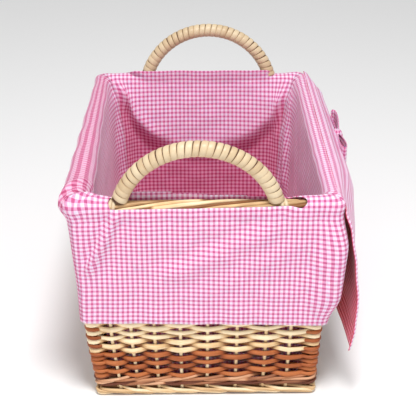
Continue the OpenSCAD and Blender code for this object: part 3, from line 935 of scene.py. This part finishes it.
def liner_sides():
    """The four sides. The long right side has no cuff, since its own panel is let down as the flap."""
    slot = (slot_lo[0], slot_hi[0])
    short = ("liner_wall_", "rim_roll_", "slot_hem_", "cuff_", "cuff_return_")
    front_nodes, back_nodes = [kind + "front" for kind in short], [kind + "back" for kind in short]
    left_nodes = ["liner_wall_left", "rim_roll_left", "cuff_left"]
    right_nodes = ["liner_wall_right", "rim_roll_right"]
    front = side_sheet("liner_front_cloth", FRONT, HEM_Z, front_folds, front_nodes, slot, 1, (15, 7))
    back = side_sheet("liner_back_cloth", BACK, HEM_Z, back_folds, back_nodes, slot, -1, (19, 19))
    left = side_sheet("liner_left_cloth", LEFT, HEM_Z, left_folds, left_nodes)
    right = side_sheet("liner_right_cloth", RIGHT, ROLL_Z - 4, right_folds, right_nodes)
def liner_floor():
    """The floor's sheet, with rounded corners that turn up a little to meet the sides."""
    floor = Shape()
    length, dist = half(FRONT, FLOOR_Z)
    hx, hy = length - CLOTH_R, dist - CLOTH_R
    xx, yy = np.meshgrid(np.linspace(-hx, hx, 60), np.linspace(-hy, hy, 86))
    rad = 32.0
    cx, cy = np.clip(np.abs(xx) - (hx - rad), 0, None), np.clip(np.abs(yy) - (hy - rad), 0, None)
    over = np.maximum(np.hypot(cx, cy) / rad, 1)
    xx = np.sign(xx) * (np.minimum(np.abs(xx), hx - rad) + cx / over)
    yy = np.sign(yy) * (np.minimum(np.abs(yy), hy - rad) + cy / over)
    edge = np.minimum(hx - np.abs(xx), hy - np.abs(yy))
    low = floor_lo[2] + 0.9
    zz = low + (0.6 + ripple(xx, yy, 0.5, 13)) * smooth(edge / 20) + (FLOOR_Z - low) * smooth(1 - edge / 6)
    # painted shade: the whole floor takes the back's deep shade tint
    floor.grid(np.stack([xx, yy, zz], -1), np.stack([xx, yy], -1) * MM, 0.5 + DEEP_SHADE_TINT[BACK])
    cloth = floor.build("liner_floor_cloth", PINK, body="liner", replaces=["liner_floor"], recalc=False)
    thicken(cloth)


# ---- the side flap and its bow


DROP = (0.0, 0.04, 0.14, 0.36, 0.59, 0.87, 1.0)  # places down the flap
EDGE_OUT = (0.5, 2.5, 9.5, 17.0, 20.5, 20.0, 15.0)  # how far out the flap hangs there at its ends
MIDDLE_OUT = (7.0, 17.0, 24.0, 25.0, 22.0, 17.0, 12.0)  # and in its middle
CURL_R, CURL_TURN = 6.0, 1.0  # the flap's ends curl in by this radius and angle


def side_flap():
    """The side's own panel, let down outside: a wide shoulder over the rim, and ends that curl in."""
    shape = Shape()
    top, hem = ROLL_Z, flap_lo[2] - 2.5
    radius = CLOTH_R + 1.0
    dist = half(RIGHT, ROLL_Z)[1]
    over = np.linspace(0.35, math.pi / 2, 9)
    down = np.linspace(0, 1, 64)[1:]
    s = np.concatenate([(over - math.pi / 2) * radius, down * (top - hem)])
    width = flap_hi[1] - 1
    uu, ss = np.meshgrid(np.linspace(-width, width, 113), s)
    t = np.clip(ss / (top - hem), 0, 1)
    turn = np.clip(ss / radius + math.pi / 2, 0, math.pi / 2)
    full = smooth((width + 6 - uu) / 50) * smooth((uu + width - 4) / 110)
    edge_out, middle_out = np.interp(t, DROP, EDGE_OUT), np.interp(t, DROP, MIDDLE_OUT)
    middle_out = middle_out * (1 - 0.16 * smooth((uu - 20) / 150))
    reach = edge_out + (middle_out - edge_out) * full
    near = smooth((ss + radius * 1.2) / (radius * 1.2))
    xx = dist + radius * np.sin(turn) + reach * near
    zz = ROLL_Z + radius * np.cos(turn) - np.clip(ss, 0, None) + 2.5 * full * near * (1 - t)
    swell = ripple(uu, ss, 0.9, 21, 90) + 1.8 * np.sin(uu / 34.0 + 0.6) * smooth((ss - 40) / 120)
    xx += smooth((ss + 4) / 60) * swell
    straight = width - CURL_R * CURL_TURN
    past = np.clip(np.abs(uu) - straight, 0, None) / CURL_R
    yy = np.sign(uu) * (np.minimum(np.abs(uu), straight) + CURL_R * np.sin(past))
    cuff = CLOTH_R + cuff_swing(ss)
    room = np.clip((radius + edge_out - cuff - 1.2) / (CURL_R * (1 - math.cos(CURL_TURN))), 0, 1)
    xx -= CURL_R * (1 - np.cos(past)) * room
    shape.grid(np.stack([xx, yy, zz], -1), np.stack([uu, ss], -1) * MM)
    piece = shape.build("side_flap_cloth", PINK, body=None, replaces=["side_flap"], recalc=False)
    thicken(piece)
    # painted shade: the inner face takes the shaded gingham, the outer face the plain one
    piece.data.materials[0] = pink_painted_shade
    piece.data.materials.append(pink)
    piece.modifiers["thickness"].material_offset = 1
    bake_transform(piece)


def ribbon(shape, path, width, across, pinch):
    """A band of cloth along path, as wide as width says there, gathered by pinch where it narrows."""
    n, m = len(path), 13
    v = np.linspace(-0.5, 0.5, m)
    across = np.broadcast_to(np.array(across, float), (n, 3))
    normal = unit(np.cross(unit(np.gradient(path, axis=0)), across))
    fold = pinch[:, None] * np.cos(v[None, :] * 6 * math.pi)
    across_path = (width[:, None] * v[None, :])[..., None] * across[:, None]
    points = path[:, None] + across_path + fold[..., None] * normal[:, None]
    steps = np.concatenate([[0], np.cumsum(np.linalg.norm(np.diff(path, axis=0), axis=1))])
    shape.grid(points, uv_grid(steps, v * 30))


RIBBON_T = 0.8
BOW_X, BOW_Y = knot_lo[0] + 4.5, (knot_lo[1] + knot_hi[1]) / 2  # where the bow lies on the flap
BOW_Z = (knot_lo[2] + knot_hi[2]) / 2 + 5
KNOT_R = 7.2


def bow_loops():
    """Each loop goes out from the knot and back, gathered at its ends. The near one is pulled longer."""
    for s, node in ((-1, "bow_loop_front"), (1, "bow_loop_back")):
        lo, hi = node_box(node)
        reach = abs((lo[1] if s < 0 else hi[1]) - BOW_Y) * (1.2 if s < 0 else 1.0)
        a = np.linspace(0.06, 2 * math.pi - 0.06, 44)
        out = reach * (1 - np.cos(a)) / 2
        puff = 5.4 * np.sin(a) * (0.35 + 0.65 * np.sin(a / 2) ** 2)
        z = BOW_Z + 2 * np.sin(a / 2) ** 2
        path = np.column_stack([BOW_X + 8.0 - puff, BOW_Y + s * (3 + out * 0.95), z])
        shape = Shape()
        full = np.sin(a / 2) ** 0.8
        ribbon(shape, path, 8 + 18 * full, (0, 0, 1), 1.6 * (1 - full))
        loop = shape.build(node + "_ribbon", PINK, body="flap", replaces=[node], recalc=False)
        thicken(loop, RIBBON_T)


def bow_tails():
    """The ribbon's two ends, that hang down and apart."""
    for s, node in ((-1, "bow_tail_front"), (1, "bow_tail_back")):
        lo, hi = node_box(node)
        drop = hi[2] - lo[2]
        t = np.linspace(0, 1, 26)
        x = BOW_X + 7 + 5.0 * t + 1.6 * np.sin(7 * t + s)
        path = np.column_stack([x, BOW_Y + s * (3 + 30 * t ** 1.2), BOW_Z - 4 - (drop + 6) * t])
        shape = Shape()
        pinch = 1.6 * (1 - smooth(t * 2.5)) + 0.5
        ribbon(shape, path, 8 + 16 * smooth(t * 3), (0.15, 1, 0.25 * s), pinch)
        tail = shape.build(node + "_ribbon", PINK, body="flap", replaces=[node], recalc=False)
        thicken(tail, RIBBON_T)


def bow_knot():
    """A barrel of ribbon with soft pleats, that holds the loops and tails."""
    shape = Shape()
    lat = np.linspace(-1, 1, 15)
    turn = np.linspace(0, 2 * math.pi, 33)
    radius = KNOT_R * np.sqrt(1 - 0.72 * lat ** 2)[:, None] * (1 + 0.07 * np.cos(turn * 5)[None, :-1])
    px = BOW_X + 6.8 + radius * np.cos(turn)[None, :-1]
    py = BOW_Y + radius * 0.9 * np.sin(turn)[None, :-1]
    pz = BOW_Z + 10.0 * np.broadcast_to(lat[:, None], px.shape)
    uv = np.stack(np.broadcast_arrays(turn[None, :] * KNOT_R, lat[:, None] * 10), -1) * MM
    shape.grid(np.stack([px, py, pz], -1), uv, wrap_cols=True, caps=True)
    shape.build("bow_knot_cloth", PINK, body="flap", replaces=["bow_knot"])


# ---- floor, light and camera


WORLD_LIGHT = 0.55
KEY_LIGHT = ("key_light", (0.1, -0.8, 2.0), 0.5, 32)  # name, place and diameter in metres, and watts
FRONT_LIGHT = ("front_light", (-0.6, -2.2, 0.42), 1.0, 10)
LIGHT_AIM = (0, 0, 0.16)
CAMERA_PLACE = (-0.0155, -1.2805, 0.8035)  # metres
CAMERA_LENS, CAMERA_PITCH, CAMERA_YAW = 93.9, 26.73, 0.94  # mm, degrees down, degrees to the right


def lamp(name, place, size, energy):
    """A round lamp that shines on the basket."""
    light = bpy.data.lights.new(name, "AREA")
    light.shape, light.size, light.energy = "DISK", size, energy
    thing = bpy.data.objects.new(name, light)
    thing.location = place
    thing.rotation_euler = (Vector(LIGHT_AIM) - Vector(place)).to_track_quat("-Z", "Y").to_euler()
    bpy.context.scene.collection.objects.link(thing)


def studio():
    """A pale floor, an even white sky, a lamp overhead and a weaker one in front."""
    bpy.ops.mesh.primitive_plane_add(size=12, location=(0, 0, -0.0004))
    ground = bpy.context.object
    ground.name = "studio_floor"
    m = Nodes("studio_floor")
    m.set(Base_Color=(0.93, 0.93, 0.93, 1), Roughness=0.9)
    ground.data.materials.append(m.material)

    world = bpy.data.worlds.new("studio_world")
    bpy.context.scene.world = world
    world.use_nodes = True
    world.node_tree.nodes["Background"].inputs["Color"].default_value = (1, 1, 1, 1)
    world.node_tree.nodes["Background"].inputs["Strength"].default_value = WORLD_LIGHT
    lamp(*KEY_LIGHT)
    lamp(*FRONT_LIGHT)


def camera():
    """Looks along the basket's length from a little above, at the angle of the reference view."""
    lens = bpy.data.cameras.new("camera")
    lens.sensor_width = 36
    lens.lens = CAMERA_LENS
    eye = bpy.data.objects.new("camera", lens)
    bpy.context.scene.collection.objects.link(eye)
    eye.location = CAMERA_PLACE
    pitch, yaw = math.radians(CAMERA_PITCH), math.radians(CAMERA_YAW)
    aim = Vector((math.sin(yaw) * math.cos(pitch), math.cos(yaw) * math.cos(pitch), -math.sin(pitch)))
    eye.rotation_euler = aim.to_track_quat("-Z", "Y").to_euler()
    bpy.context.scene.camera = eye


camera()
studio()
basket_walls()
uprights()
rim_border()
base()
for end in (FRONT, BACK):
    handle_core(end)
    handle_peel(end)
    handle_lashing(end)
liner_sides()
liner_floor()
side_flap()
bow_loops()
bow_tails()
bow_knot()

bpy.context.scene.view_settings.view_transform = "Standard"
bpy.context.view_layer.update()
